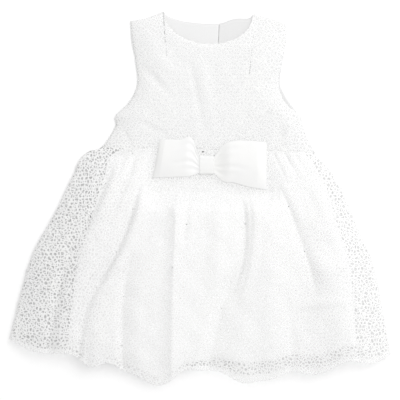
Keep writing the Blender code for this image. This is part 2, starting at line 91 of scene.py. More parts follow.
bpy.context.scene.view_settings.view_transform = "Standard"
bpy.context.scene.cycles.diffuse_bounces = LIGHT_BOUNCES

world = bpy.data.worlds.new("sky")
world.use_nodes = True
background = world.node_tree.nodes["Background"].inputs
background["Color"].default_value = (1.0, 1.0, 1.0, 1)
background["Strength"].default_value = SKY
bpy.context.scene.world = world

lamp_data = bpy.data.lights.new("upper_right_lamp", "AREA")
lamp_data.size, lamp_data.energy = LAMP_SIZE, LAMP_POWER
lamp = bpy.data.objects.new("upper_right_lamp", lamp_data)
lamp.visible_camera = False
lamp.location = LAMP_PLACE
lamp.rotation_euler = (-lamp.location).to_track_quat("-Z", "Y").to_euler()
bpy.context.scene.collection.objects.link(lamp)
print("sky", SKY, "and a lamp at", LAMP_PLACE)

# %% [markdown]
# ## Small tools
#
# A table's column is read at any share by a smooth cubic through its rows. Soft steps make a
# fold start and end, and a raised cosine shapes creases, gathers and the waves of the hem.

# %% Curves and steps


def cubic(stations, values, share):
    """Cubic through the values: straight between two rows, plus a bow that matches the slopes."""
    stations, values = np.asarray(stations, float), np.asarray(values, float)
    slopes = np.gradient(values, stations)
    share = np.clip(share, stations[0], stations[-1])
    row = np.clip(np.searchsorted(stations, share) - 1, 0, len(stations) - 2)
    length = stations[row + 1] - stations[row]
    part = (share - stations[row]) / length
    rise = values[row + 1] - values[row]
    start_error = slopes[row] * length - rise
    end_error = rise - slopes[row + 1] * length
    bow = part * (1 - part) * (start_error * (1 - part) + end_error * part)
    return values[row] + rise * part + bow


def within(value):
    """The value, kept from 0 to 1."""
    return np.clip(value, 0, 1)


def smooth_step(start, end, value):
    """0 before start, 1 after end, and 3p^2 - 2p^3 between them."""
    part = within((value - start) / (end - start))
    return part * part * (3 - 2 * part)


def rounded(distance, reach):
    """0 at an edge and 1 at reach from it, as 1 - (1 - p)^2.2: steep first, level at the end."""
    return 1 - (1 - within(distance / reach)) ** 2.2


def bump(distance, half_width):
    """A raised cosine: 1 on its line, 0 from half_width away."""
    return 0.5 + 0.5 * np.cos(math.pi * within(np.abs(distance) / half_width))


def mixed(first, second, share):
    """first where the share is 0, second where it is 1."""
    return first + (second - first) * share


def wander(x, y, rise, size, seed):
    """Unevenness up to rise: the mean of six cosine waves with drawn directions and lengths."""
    draw = np.random.default_rng(seed)
    angle = draw.uniform(0, 2 * math.pi, 6)
    phase = draw.uniform(0, 2 * math.pi, 6)
    length = size * draw.uniform(0.7, 1.6, 6)
    run = x[..., None] * np.cos(angle) + y[..., None] * np.sin(angle)
    return rise * np.cos(2 * math.pi * run / length + phase).mean(-1)


def point(x, y, z):
    """The three coordinates as one array of points."""
    return np.stack(np.broadcast_arrays(x, y, z), axis=-1)


def surface_of(plan, height):
    """A panel's function: plan gives x and y, and height gives z of its solid's underside, which
    lift moves up into the cloth. It keeps its plan, to find the shares of a place."""
    def surface(across, down, lift=0.0):
        x, y = plan(across, down)
        return point(x, y, height(across, down, x, y) + lift)
    surface.plan = plan
    return surface


# %% [markdown]
# ## The cut of the dress
#
# These tables hold the outline as level lines from the left edge to the right one. down is the
# share of the way from shoulder to waist, or from waist to hem. They are the solids' own sizes,
# so a sheet has its solid's outline. Only the waist seam is drawn closer together, and the back
# lies a little inside the front.

# %% Layers and outline
LACE, LINING, SATIN = 0.0012, 0.0010, 0.0010
SEAM_GAP, WAIST_GAP, SIDE_SEAM_GAP = 0.00035, -0.0006, 0.0008
BACK_LINING_Z = LACE + SEAM_GAP
FRONT_LINING_Z = BACK_LINING_Z + LINING + SEAM_GAP
FRONT_EDGE_Z = FRONT_LINING_Z + 0.0001
LACE_OVER_LINING_Z = FRONT_LINING_Z + LINING + SEAM_GAP

BODICE = {
    "down": [0.00, 0.15, 0.33, 0.52, 0.65, 0.76, 0.82, 0.90, 1.00],
    "left_x": [-.0960, -.0940, -.0886, -.0872, -.0990, -.1178, -.1158, -.1238, -.1345],
    "left_y": [.2495, .2230, .1924, .1575, .1352, .1150, .1055, .0900, .0732],
    "right_x": [.1212, .1205, .1150, .1132, .1255, .1401, .1432, .1480, .1600],
    "right_y": [.2434, .2190, .1882, .1575, .1352, .1157, .1050, .0885, .0669],
    "scoop_left": [0, 0, 0, .0005, .0010, 0, 0, 0, 0],
    "scoop_right": [0, 0, .0005, .0025, .0055, 0, 0, 0, 0],
}
SKIRT = {
    "down": [0.00, 0.04, 0.15, 0.35, 0.55, 0.76, 1.00],
    "left_x": [-.1345, -.1560, -.1755, -.2015, -.2305, -.2478, -.2648],
    "left_y": [.0732, .0655, .0340, -.0188, -.0711, -.1255, -.1935],
    "right_x": [.1600, .1690, .1925, .2165, .2405, .2535, .2660],
    "right_y": [.0669, .0565, .0251, -.0307, -.0864, -.1450, -.2119],
}
LEFT_STRAP, RIGHT_STRAP = 0.213, 0.787
NECK_MIDDLE, NECK_HALF = (LEFT_STRAP + RIGHT_STRAP) / 2, (RIGHT_STRAP - LEFT_STRAP) / 2
NECK_TIP_RISE = 0.0145
LEFT_SHOULDER_CURVE, RIGHT_SHOULDER_CURVE = 1.6, 0.8
FRONT_NECK_DEPTH, BACK_NECK_DEPTH, NECK_REACH = 0.0440, 0.0150, 0.58
BACK_NECK_LIFT, BACK_NECK_LIFT_AT = 0.0050, 0.60
CENTRE_BACK_AT_NECK, CENTRE_BACK_AT_WAIST, CENTRE_BACK_GAP = 0.568, 0.510, 0.0002

HEM_SAG = 0.0345
HEM_WAVES = {
    "across": [0.070, 0.215, 0.325, 0.395, 0.622, 0.695, 0.805, 0.955],
    "drop": [0.0085, 0.0120, 0.0130, 0.0240, 0.0180, 0.0125, 0.0130, 0.0105],
    "half_width": [0.090, 0.055, 0.080, 0.075, 0.085, 0.062, 0.100, 0.075],
}
SCALLOPS, SCALLOP_DEPTH, SCALLOP_FROM = 84, 0.0006, 0.985


def edge(table, column, down):
    """A column of a table at a share of the way down."""
    return cubic(table["down"], table[column], down)


def width_of(table, down):
    """Distance between a table's left and right edges."""
    return edge(table, "right_x", down) - edge(table, "left_x", down)


def neck_offset(across):
    """-1 at the left neck tip, 0 in the middle of the neck, 1 at the right neck tip."""
    return np.clip((across - NECK_MIDDLE) / NECK_HALF, -1, 1)


def bodice_plan(across, down, scooped):
    """Place of a bodice point in the plane: a level line, plus the shoulders less the neck on top."""
    left_x, right_x = edge(BODICE, "left_x", down), edge(BODICE, "right_x", down)
    if scooped:
        left_x = left_x + edge(BODICE, "scoop_left", down)
        right_x = right_x - edge(BODICE, "scoop_right", down)
    y = mixed(edge(BODICE, "left_y", down), edge(BODICE, "right_y", down), across)
    left = within(across / LEFT_STRAP) ** LEFT_SHOULDER_CURVE
    right = within((1 - across) / (1 - RIGHT_STRAP)) ** RIGHT_SHOULDER_CURVE
    offset = neck_offset(across)
    depth = FRONT_NECK_DEPTH if scooped else BACK_NECK_DEPTH
    top = NECK_TIP_RISE * left * right - depth * np.sqrt(1 - offset ** 2)
    if not scooped:
        top = top + BACK_NECK_LIFT * bump(offset - BACK_NECK_LIFT_AT, 1 - BACK_NECK_LIFT_AT)
    return mixed(left_x, right_x, across), y + top * (1 - within(down / NECK_REACH))


def skirt_plan(across, down, wave_share=1.0):
    """Place of a skirt point in the plane: a level line that sags and waves towards the hem,
    which ends in small scallops."""
    waves = sum(
        drop * bump(across - place, half)
        for place, drop, half in zip(*HEM_WAVES.values())
    )
    x = mixed(edge(SKIRT, "left_x", down), edge(SKIRT, "right_x", down), across)
    y = mixed(edge(SKIRT, "left_y", down), edge(SKIRT, "right_y", down), across)
    sag = HEM_SAG * 4 * across * (1 - across) * down ** 1.5
    scallops = SCALLOP_DEPTH * np.cos(2 * math.pi * SCALLOPS * across)
    scallops = scallops * smooth_step(SCALLOP_FROM, 1, down)
    return x, y - sag - wave_share * waves * down ** 3 + scallops - WAIST_GAP


print("waist", round(float(width_of(SKIRT, 0.0)), 3), "m, hem", round(float(width_of(SKIRT, 1.0)), 3), "m")

# %% [markdown]
# ## The folds
#
# The skirt is gathered into the waist, so its folds fan out from there. Each is a row: where its
# line runs at five heights as shares of the width, where it starts and ends, how wide it is at
# the waist and at the hem, how far it leans, how sharp its crest is, and how far it rises. A
# negative rise is a trough.

# %% Folds of the front skirt
Fold = namedtuple("Fold", "name waist upper middle lower hem start end waist_half hem_half lean sharp rise")
SKIRT_FOLDS = [
    Fold("left side gather", .130, .112, .095, .078, .060, .04, .26, .008, .014, 0, 0, -.0030),
    Fold("broad left panel", .168, .153, .150, .148, .148, .02, 1.10, .020, .036, .2, 0, .0045),
    Fold("left crease", .270, .255, .239, .188, .182, .10, 1.10, .012, .015, -.5, .6, -.0034),
    Fold("ridge by the crease", .320, .283, .262, .214, .225, .12, 1.10, .012, .022, .4, 0, .0028),
    Fold("left middle trough", .295, .290, .284, .280, .298, .46, 1.10, .014, .020, .4, .6, -.0048),
    Fold("middle panel", .379, .395, .410, .418, .426, .16, 1.10, .026, .040, .4, 1, .0050),
    Fold("short middle crease", .450, .440, .436, .434, .431, .10, .50, .006, .010, 0, .3, -.0018),
    Fold("gather by the bow", .474, .420, .400, .400, .400, .06, .30, .004, .006, 0, 0, -.0015),
    Fold("ridge under the bow", .545, .545, .540, .540, .540, .15, .75, .016, .024, 0, 0, .0020),
    Fold("right crease", .565, .631, .621, .566, .530, .05, .70, .012, .014, -.5, .5, -.0028),
    Fold("ridge past the crease", .600, .668, .648, .600, .560, .06, .74, .010, .012, .4, 0, .0016),
    Fold("right hem trough", .679, .639, .599, .553, .520, .52, 1.10, .020, .034, .4, .5, -.0066),
    Fold("broad right panel", .700, .705, .705, .700, .690, .06, 1.00, .038, .040, 0, 0, .0042),
    Fold("right valley", .732, .786, .812, .824, .829, .12, .72, .008, .026, 0, 1, -.0034),
    Fold("right side panel", .900, .910, .925, .930, .930, .10, 1.10, .014, .024, 0, 0, .0020),
    Fold("right corner puff", .880, .880, .880, .885, .890, .44, 1.20, .045, .052, 0, 0, .0058),
    Fold("left waist crease", .205, .140, .120, .100, .090, .03, .22, .004, .006, 0, 0, -.0022),
    Fold("first left gather", .150, .128, .112, .100, .092, .02, .46, .006, .010, .3, 0, -.0030),
    Fold("second left gather", .230, .196, .172, .156, .145, .02, .44, .006, .010, .3, 0, -.0028),
    Fold("left waist ridge", .128, .112, .105, .100, .090, .02, .30, .005, .008, 0, 0, .0022),
    Fold("right waist crease", .856, .850, .850, .850, .850, .01, .14, .004, .006, 0, 0, -.0018),
    Fold("right waist trough", .778, .756, .750, .750, .750, .10, .30, .005, .007, 0, 0, -.0018),
    Fold("left hem fold", .090, .092, .095, .098, .104, .55, 1.10, .008, .012, 0, 0, -.0022),
    Fold("right hem fold", .760, .758, .752, .748, .742, .72, 1.10, .008, .013, 0, 0, -.0016),
    Fold("right corner fold", .930, .928, .925, .922, .918, .60, 1.10, .007, .011, 0, 0, -.0018),
]
FOLD_STATIONS = (0, 0.25, 0.5, 0.75, 1)
FOLD_FADE = 0.14
GATHER_COUNT, GATHER_REACH, GATHER_SEED = 38, 0.24, 5
GATHER_LENGTHS, GATHER_DEPTHS, GATHER_HALVES = (0.35, 1.0), (0.0004, 0.0013), (0.35, 0.62)


def fold_shape(distance, half, lean, sharp):
    """1 on a fold's line and 0 at its sides, as (1 - p)^2 (1 + 2p) when round and (1 - p)^2 when
    sharp. lean widens its right side and narrows its left one by that share."""
    part = within(np.abs(distance) / (half * np.where(distance < 0, 1 - lean, 1 + lean)))
    return (1 - part) ** 2 * (1 + 2 * (1 - sharp) * part)


def folds(table, across, down, width):
    """Sum of each fold's rise times its shape across its line and soft steps at its two ends."""
    total = np.zeros_like(across)
    for fold in table:
        line = cubic(FOLD_STATIONS, fold[1:6], down)
        half = mixed(fold.waist_half, fold.hem_half, down)
        begins = smooth_step(fold.start, fold.start + FOLD_FADE, down)
        ends = 1 - smooth_step(fold.end - FOLD_FADE, fold.end, down)
        shape = fold_shape((across - line) * width, half, fold.lean, fold.sharp)
        total += fold.rise * shape * begins * ends
    return total


def gathers(across, down):
    """Small pleats that hang from the waist seam: drawn places, lengths and depths, fading down."""
    draw = np.random.default_rng(GATHER_SEED)
    number = np.arange(GATHER_COUNT)
    places = (number + 0.5 + draw.uniform(-0.3, 0.3, GATHER_COUNT)) / GATHER_COUNT
    lengths = GATHER_REACH * draw.uniform(*GATHER_LENGTHS, GATHER_COUNT)
    depths = draw.uniform(*GATHER_DEPTHS, GATHER_COUNT) * np.where(number % 2, 1, -1)
    halves = draw.uniform(*GATHER_HALVES, GATHER_COUNT) / GATHER_COUNT
    total = np.zeros_like(across)
    for place, length, depth, half in zip(places, lengths, depths, halves):
        fade = smooth_step(0, 0.03, down) * (1 - smooth_step(0.3 * length, length, down))
        total += depth * bump(across - place, half) * fade
    return total


CREASE_REACH = 0.8
Crease = namedtuple("Crease", "name start_x start_y end_x end_y half_width rise")
SKIRT_CREASES = [
    Crease("across the right panel", .1350, -.1480, .2050, -.1390, .011, .0016),
    Crease("from the left corner of the waist", -.1280, .0560, -.0960, .0680, .006, -.0010),
]


def creases(table, x, y):
    """Sum of ridges or troughs along short lines: a raised cosine across and another along each."""
    total = np.zeros_like(x)
    for crease in table:
        run_x, run_y = crease.end_x - crease.start_x, crease.end_y - crease.start_y
        length = math.hypot(run_x, run_y)
        part = ((x - crease.start_x) * run_x + (y - crease.start_y) * run_y) / length ** 2
        aside = ((x - crease.start_x) * run_y - (y - crease.start_y) * run_x) / length
        total += crease.rise * bump(aside, crease.half_width) * bump(part - 0.5, CREASE_REACH)
    return total


print(len(SKIRT_FOLDS), "hand-placed folds on the front skirt")

# %% [markdown]
# ## Panels as functions
#
# The front stands off the back: it is seamed down at its sides and puffs up between them. The
# bow presses down the skirt under it.

# %% Surfaces of the skirt
WAIST_RISE, CHEST_RISE = 0.0062, 0.0066
BODICE_ROUNDING, SHOULDER_REACH = 0.036, 0.060
SKIRT_PUFF, SKIRT_ROUNDING = 0.0090, 0.070
PUFF_GROWS, FOLDS_GROW, RIPPLE_GROWS, LIP_GROWS = (0, 0.35), (0, 0.2), (0.1, 0.4), (0, 0.12)
SIDE_LIP_RISE, SIDE_LIP_WIDTH = 0.0030, 0.014
SEAM_DIP, SEAM_DIP_REACH, SKIRT_SEAM_EXTRA, EXTRA_GROWS = 0.0010, 0.0035, 0.8, (0.04, 0.12)
LINING_SHARE, LINING_ROUNDING = 0.65, 0.045
LINING_LEFT, LINING_RIGHT = (0.110, 0.150), (0.952, 0.918)
LINING_LENGTH, BACK_SKIRT_LENGTH, BACK_INSET = 0.935, 0.985, 0.0035
BACK_WAVES, BACK_LINING_WAVES = 0.7, 0.6
LEFT_LINING_EXTRA, LEFT_LINING_ENDS, LINING_WAVES = 0.040, (0.44, 0.62), (1.0, 0.8)
BOW_BED_Z, BOW_PRESS, BOW_MARGIN = FRONT_EDGE_Z + WAIST_RISE, 0.95, 0.016
BOW_LEFT, BOW_RIGHT, BOW_LOW = -0.0592, 0.0930, 0.0140
SKIRT_RIPPLE = {"rise": 0.0007, "size": 0.034, "seed": 11}
HEM_DROP, HEM_DROP_FROM = 0.0030, 0.91


def side_distance(across, down):
    """Distance to the nearer side seam of the skirt."""
    return np.minimum(across, 1 - across) * width_of(SKIRT, down)


def lip_rise(down):
    """Height of the back skirt's curled-up side edge."""
    return SIDE_LIP_RISE * smooth_step(*LIP_GROWS, down)


def side_lip(across, down):
    """How far the back skirt curls up towards its side seams: a parabola near the edge."""
    return lip_rise(down) * within(1 - side_distance(across, down) / SIDE_LIP_WIDTH) ** 2


def past(place, value):
    """0 short of a place, 1 past it, with a soft edge."""
    return smooth_step(place - BOW_MARGIN, place + BOW_MARGIN, value)


def under_bow(x, y):
    """1 where the bow presses on the skirt, 0 away from it."""
    inside = past(BOW_LEFT - BOW_MARGIN, x) * (1 - past(BOW_RIGHT + BOW_MARGIN, x))
    return inside * past(BOW_LOW - BOW_MARGIN, y)


def seam_dip(distance):
    """How far a front panel bends down to its side seam: a parabola near the edge."""
    return SEAM_DIP * (1 - within(distance / SEAM_DIP_REACH)) ** 2


def skirt_height(across, down, x, y):
    """Underside of the lace front: edge height + rise at the waist + puff with folds and gathers."""
    distance = side_distance(across, down)
    edge_z = np.maximum(FRONT_EDGE_Z, lip_rise(down) + LACE + SIDE_SEAM_GAP)
    waist = rounded(distance, mixed(BODICE_ROUNDING, SKIRT_ROUNDING, down))
    shape = SKIRT_PUFF * smooth_step(*PUFF_GROWS, down)
    shape += folds(SKIRT_FOLDS, across, down, width_of(SKIRT, down)) * smooth_step(*FOLDS_GROW, down)
    shape += gathers(across, down)
    shape += creases(SKIRT_CREASES, x, y)
    shape += wander(x, y, **SKIRT_RIPPLE) * smooth_step(*RIPPLE_GROWS, down)
    shape -= HEM_DROP * smooth_step(HEM_DROP_FROM, 1.0, down)
    seam = seam_dip(distance) * (1 + SKIRT_SEAM_EXTRA * smooth_step(*EXTRA_GROWS, down))
    height = edge_z - seam + waist * WAIST_RISE + rounded(distance, SKIRT_ROUNDING) * shape
    return mixed(height, np.minimum(height, BOW_BED_Z), BOW_PRESS * under_bow(x, y))


def back_skirt_plan(across, down):
    """The back lies a little inside the front's edges, with lower waves at its hem."""
    share = mixed(BACK_INSET, 1 - BACK_INSET, across)
    return skirt_plan(share, down * BACK_SKIRT_LENGTH, wave_share=BACK_WAVES)


def back_skirt_height(across, down, x, y):
    """Flat where it lies, curling up at its sides."""
    return side_lip(across, down * BACK_SKIRT_LENGTH)


def lining_share(across, down):
    """Share of the lace skirt's width at which a point of the narrower lining lies."""
    return mixed(mixed(*LINING_LEFT, down), mixed(*LINING_RIGHT, down), across)


def front_lining_reach(across, down):
    """Shares of the lace at a point of the front lining, which hangs lower on the left."""
    share = lining_share(across, down)
    right = smooth_step(*LEFT_LINING_ENDS, share)
    return share, down * (LINING_LENGTH + LEFT_LINING_EXTRA * (1 - right)), right


def front_lining_plan(across, down):
    """The front lining's place: narrower and shorter than the lace."""
    share, reach, right = front_lining_reach(across, down)
    return skirt_plan(share, reach, wave_share=mixed(*LINING_WAVES, right))


def front_lining_height(across, down, x, y):
    """A share of the lace's height over it, and down on the back at its own sides."""
    share, reach, _ = front_lining_reach(across, down)
    lace = skirt_height(share, reach, *skirt_plan(share, reach))
    side = np.minimum(across, 1 - across) * width_of(SKIRT, reach) * (LINING_RIGHT[1] - LINING_LEFT[1])
    return FRONT_LINING_Z + rounded(side, LINING_ROUNDING) * LINING_SHARE * (lace - LACE_OVER_LINING_Z)


def back_lining_plan(across, down):
    """The back lining's place."""
    return skirt_plan(lining_share(across, down), down * LINING_LENGTH, wave_share=BACK_LINING_WAVES)


def flat_at(z):
    """A height function that is the same everywhere."""
    return lambda across, down, x, y: np.full_like(x, z)


front_skirt = surface_of(skirt_plan, skirt_height)
back_skirt = surface_of(back_skirt_plan, back_skirt_height)
front_skirt_lining = surface_of(front_lining_plan, front_lining_height)
back_skirt_lining = surface_of(back_lining_plan, flat_at(BACK_LINING_Z))

# %% [markdown]
# The bodice has no gathers, only a few soft creases, given by their two ends. The neckline gapes
# a little above the back, and its turned edge rolls in.

# %% Surfaces of the bodice
BODICE_CREASES = [
    Crease("left armhole crease", -.0840, .1900, -.0440, .1500, .010, -.0022),
    Crease("above the armhole crease", -.0700, .2050, -.0360, .1760, .014, .0010),
    Crease("right waist hollow", .1180, .1050, .1080, .0780, .012, -.0020),
    Crease("soft middle ridge", .0000, .1980, .0200, .0950, .013, .0012),
    Crease("edge of the middle ridge", -.0120, .1900, .0040, .1000, .007, -.0009),
    Crease("pull to the bow on the left", -.0900, .1120, -.0420, .0880, .009, -.0010),
    Crease("pull to the bow on the right", .1000, .1240, .0640, .0920, .010, -.0010),
    Crease("left side pleat", -.1080, .1000, -.0960, .0780, .006, -.0012),
    Crease("left chest swell", -.0500, .1500, -.0380, .1050, .022, .0012),
    Crease("right armhole crease", .1060, .1750, .0760, .1560, .010, -.0010),
]
NECK_ROLL, NECK_ROLL_REACH = 0.22, 0.045
GAPE_POWER, GAPE_OPENS, CHEST_TO_WAIST = 0.9, 0.5, (0.45, 1.0)
BODICE_RIPPLE = {"rise": 0.0004, "size": 0.030, "seed": 21}
BACK_LACE_INSET, BACK_LINING_INSET, SHOULDER_INSET_ENDS = 0.0020, 0.0006, 0.3


def front_bodice_height(across, down, x, y):
    """Seamed down at its sides and shoulders, raised in its middle, and rolled in at the neck."""
    side = np.minimum(across, 1 - across) * width_of(BODICE, down)
    gape = (1 - neck_offset(across) ** 2) ** GAPE_POWER
    shoulder_y = mixed(BODICE["left_y"][0], BODICE["right_y"][0], across) + NECK_TIP_RISE
    below = within((shoulder_y - y) / SHOULDER_REACH)
    from_shoulder = 1 - (1 - GAPE_OPENS * gape) * (1 - below) ** 2
    roll = 1 - NECK_ROLL * gape * (1 - within(down / NECK_ROLL_REACH)) ** 2
    rise = mixed(CHEST_RISE, WAIST_RISE, smooth_step(*CHEST_TO_WAIST, down))
    uneven = creases(BODICE_CREASES, x, y) + wander(x, y, **BODICE_RIPPLE)
    raised = rounded(side, BODICE_ROUNDING) * from_shoulder * (rise + uneven) * roll
    return FRONT_EDGE_Z - seam_dip(side) + raised


front_bodice = surface_of(lambda across, down: bodice_plan(across, down, scooped=True), front_bodice_height)


def back_bodice(half, layer_z, inset):
    """One half of the back or of its lining: flat, with its neck tip halfway across."""
    def plan(across, down):
        width = width_of(BODICE, down)
        centre = mixed(CENTRE_BACK_AT_NECK, CENTRE_BACK_AT_WAIST, down)
        side, gap = inset / width, CENTRE_BACK_GAP / 2 / width
        if half == "left":
            first, strap, last = side, LEFT_STRAP, centre - gap
        else:
            first, strap, last = centre + gap, RIGHT_STRAP, 1 - side
        to_strap, from_strap = mixed(first, strap, across * 2), mixed(strap, last, across * 2 - 1)
        share = np.where(across < 0.5, to_strap, from_strap)
        x, y = bodice_plan(share, down, scooped=False)
        return x, y - inset * (1 - smooth_step(0, SHOULDER_INSET_ENDS, down))
    return surface_of(plan, flat_at(layer_z))


# %% [markdown]
# ## The bow
#
# Each loop is a band of satin that runs out along the skirt, turns over and comes back on top.
# The top is puffed, and its long edges bend down. Shallow creases fan out from the knot, where
# the band is drawn together, and die out before its end.

# %% Surfaces of the bow
LOOPS = {
    "left": {
        "rest_z": 0.0115, "puff": 0.0075, "turn": 0.12, "cut": (0.13, 0.055),
        "out": [0.00, 0.08, 0.21, 0.60, 1.00],
        "x": [.0045, -.0008, -.0091, -.0332, -.0597],
        "centre_y": [.0488, .0490, .0572, .0578, .0578],
        "half_height": [.0108, .0116, .0234, .0262, .0271],
        "slant": [0, 0, .0015, .0038, .0050],
    },
    "right": {
        "rest_z": 0.0130, "puff": 0.0085, "turn": 0.16, "cut": (0.17, 0.067),
        "out": [0.00, 0.08, 0.21, 0.41, 0.70, 1.00],
        "x": [.0150, .0203, .0314, .0467, .0700, .0930],
        "centre_y": [.0488, .0486, .0509, .0530, .0500, .0470],
        "half_height": [.0108, .0116, .0244, .0292, .0325, .0330],
        "slant": [0, 0, 0, 0, 0, 0],
    },
}
KNOT_Z, LOOP_EDGE_DROP = 0.0159, 0.55
LOOP_GAP_AT_KNOT, KNOT_MOUTH, LOOP_FULL = 0.0028, 0.08, 0.38
LOOP_CREASES = {
    "line": [-0.62, -0.20, 0.22, 0.66],
    "bend": [0.10, -0.06, 0.05, -0.08],
    "half_width": [0.24, 0.20, 0.22, 0.20],
    "rise": [-0.0006, -0.0008, -0.0006, -0.0007],
    "reach": [0.62, 0.80, 0.55, 0.72],
}


def bow_loop(band):
    """A folded band: the turn runs -1 below to 1 on top, and 1 - |turn|^1.6 gives how far out it
    is. Half the opening lifts the top, less a share of it that grows to the long edges as level^2."""
    outward, puff = math.copysign(1.0, band["x"][-1] - band["x"][0]), band["puff"]

    def surface(across, down, lift=0.0):
        turn = (2 * across - 1) * outward
        out = 1 - np.abs(turn) ** 1.6
        x, centre_y, half, slant = (
            cubic(band["out"], band[name], out) for name in ("x", "centre_y", "half_height", "slant")
        )
        swell = smooth_step(KNOT_MOUTH, LOOP_FULL, out)
        turnover = np.sqrt(within((1 - out) / band["turn"]))
        opening = (LOOP_GAP_AT_KNOT / 2 + puff / 2 * swell) * turnover
        middle = mixed(KNOT_Z, band["rest_z"] + (puff + LOOP_GAP_AT_KNOT) / 2, swell)
        level = 1 - 2 * down
        top = turn > 0
        drop = np.where(top, LOOP_EDGE_DROP * swell * level ** 2, 0.0)
        crease = sum(
            rise * bump(level - line - bend * out, width)
            * smooth_step(0.05, 0.18, out) * (1 - smooth_step(0.4 * reach, reach, out))
            for line, bend, width, rise, reach in zip(*LOOP_CREASES.values())
        )
        z = middle + np.sign(turn) * (opening * (1 - drop) + crease * turnover * top - lift)
        return point(x + slant * level, centre_y + half * level, z)
    return surface


# %% [markdown]
# ## From a function to a mesh
#
# A grid of shares gives a grid of points, and index arithmetic gives its faces. The UV map holds
# real lengths, so a weave or a net on it keeps its size: the place in the plane for the flat
# panels, and the length along the band for the bow.

# %% Grid meshes
collection = bpy.data.collections.new("flower_girl_dress")
bpy.context.scene.collection.children.link(collection)


def mesh_object(name, points, faces, uv=None):
    """A mesh from arrays of points and faces, with one UV pair for each point."""
    mesh = bpy.data.meshes.new(name)
    mesh.from_pydata(points.reshape(-1, 3), [], faces)
    if uv is not None:
        layer = mesh.uv_layers.new(name="cut")
        corners = np.empty(len(mesh.loops), dtype=np.int32)
        mesh.loops.foreach_get("vertex_index", corners)
        layer.data.foreach_set("uv", uv.reshape(-1, 2)[corners].astype(np.float32).ravel())
    mesh.shade_smooth()
    piece = bpy.data.objects.new(name, mesh)
    collection.objects.link(piece)
    return piece


def grid_faces(rows, columns, upward):
    """Quads of a grid of points, wound so that they look up or down."""
    index = np.arange((rows + 1) * (columns + 1)).reshape(rows + 1, columns + 1)
    corners = [index[:-1, :-1], index[1:, :-1], index[1:, 1:], index[:-1, 1:]]
    if not upward:
        corners = corners[::-1]
    return np.stack(corners, axis=-1).reshape(-1, 4)


def cloth_lengths(points):
    """Length along each row from its middle, and down each column from its top."""
    along = np.linalg.norm(np.diff(points, axis=1), axis=-1).cumsum(axis=1)
    along = np.pad(along, ((0, 0), (1, 0)))
    down = np.linalg.norm(np.diff(points, axis=0), axis=-1).cumsum(axis=0)
    down = np.pad(down, ((1, 0), (0, 0)))
    return np.stack([along - along[:, [along.shape[1] // 2]], -down], axis=-1)


def even(count):
    """Even shares from 0 to 1."""
    return np.linspace(0, 1, count + 1)


def panel(name, surface, across, down, upward, wall, lift=0.0):
    """A sheet of cloth: its function on a grid, then a thin wall on the side it doesn't look to."""
    u, v = np.meshgrid(across, down)
    points = surface(u, v, lift)
    uv = points[..., :2] if hasattr(surface, "plan") else cloth_lengths(points)
    piece = mesh_object(name, points, grid_faces(len(down) - 1, len(across) - 1, upward), uv)
    solid = piece.modifiers.new("wall", "SOLIDIFY")
    solid.thickness = wall
    solid.offset = -1
    return piece


def neck_stations(strap, neck):
    """Shares with a column on each neck tip, closer together near the tips."""
    angle = np.linspace(-math.pi / 2, math.pi / 2, neck + 1)
    left, right = np.linspace(0, LEFT_STRAP, strap + 1), np.linspace(RIGHT_STRAP, 1, strap + 1)
    return np.concatenate([left, NECK_MIDDLE + NECK_HALF * np.sin(angle)[1:], right[1:]])


# %% [markdown]
# ## Lace
#
# Corded lace is a fine net with cords worked over it in an uneven coral pattern. The net is the
# sheet itself, see-through in its material. The cords are one mesh on it: a honeycomb whose
# corners are moved at random, with some sides left out, the rest bowed, and a few as thick
# leaves. A cord is nearly flat, and its normals turn only a little at its feet.

# %% Places and cords on a surface
NEWTON_STEPS, PLAN_STEP, FACING_STEP = 8, 1e-3, 2e-3


def beside(share, step):
    """The shares one step before and after, kept inside the panel."""
    return within(share - step), within(share + step)


def shares_at(plan, x, y):
    """Shares of the points (x, y): Newton's steps on the plan, kept inside the panel.
    Also gives how far each point is outside."""
    u, v = np.full_like(x, 0.5), np.full_like(x, 0.5)
    for _ in range(NEWTON_STEPS):
        (u0, u1), (v0, v1) = beside(u, PLAN_STEP), beside(v, PLAN_STEP)
        here = np.stack(plan(u, v))
        du = (np.stack(plan(u1, v)) - np.stack(plan(u0, v))) / (u1 - u0)
        dv = (np.stack(plan(u, v1)) - np.stack(plan(u, v0))) / (v1 - v0)
        miss_x, miss_y = x - here[0], y - here[1]
        turn = du[0] * dv[1] - du[1] * dv[0]
        turn = np.where(np.abs(turn) < 1e-7, -1e-7, turn)
        u = within(u + (miss_x * dv[1] - miss_y * dv[0]) / turn)
        v = within(v + (miss_y * du[0] - miss_x * du[1]) / turn)
    here = plan(u, v)
    return u, v, np.hypot(x - here[0], y - here[1])


def unit(vectors):
    """Vectors of length 1."""
    return vectors / np.maximum(np.linalg.norm(vectors, axis=-1, keepdims=True), 1e-12)


def facing(surface, u, v, upward):
    """Direction away from a panel's face: the cross product of its two slopes."""
    (u0, u1), (v0, v1) = beside(u, FACING_STEP), beside(v, FACING_STEP)
    across, down = surface(u1, v) - surface(u0, v), surface(u, v1) - surface(u, v0)
    return unit(np.cross(down, across)) * (1 if upward else -1)


FOOT_TURN = 0.20


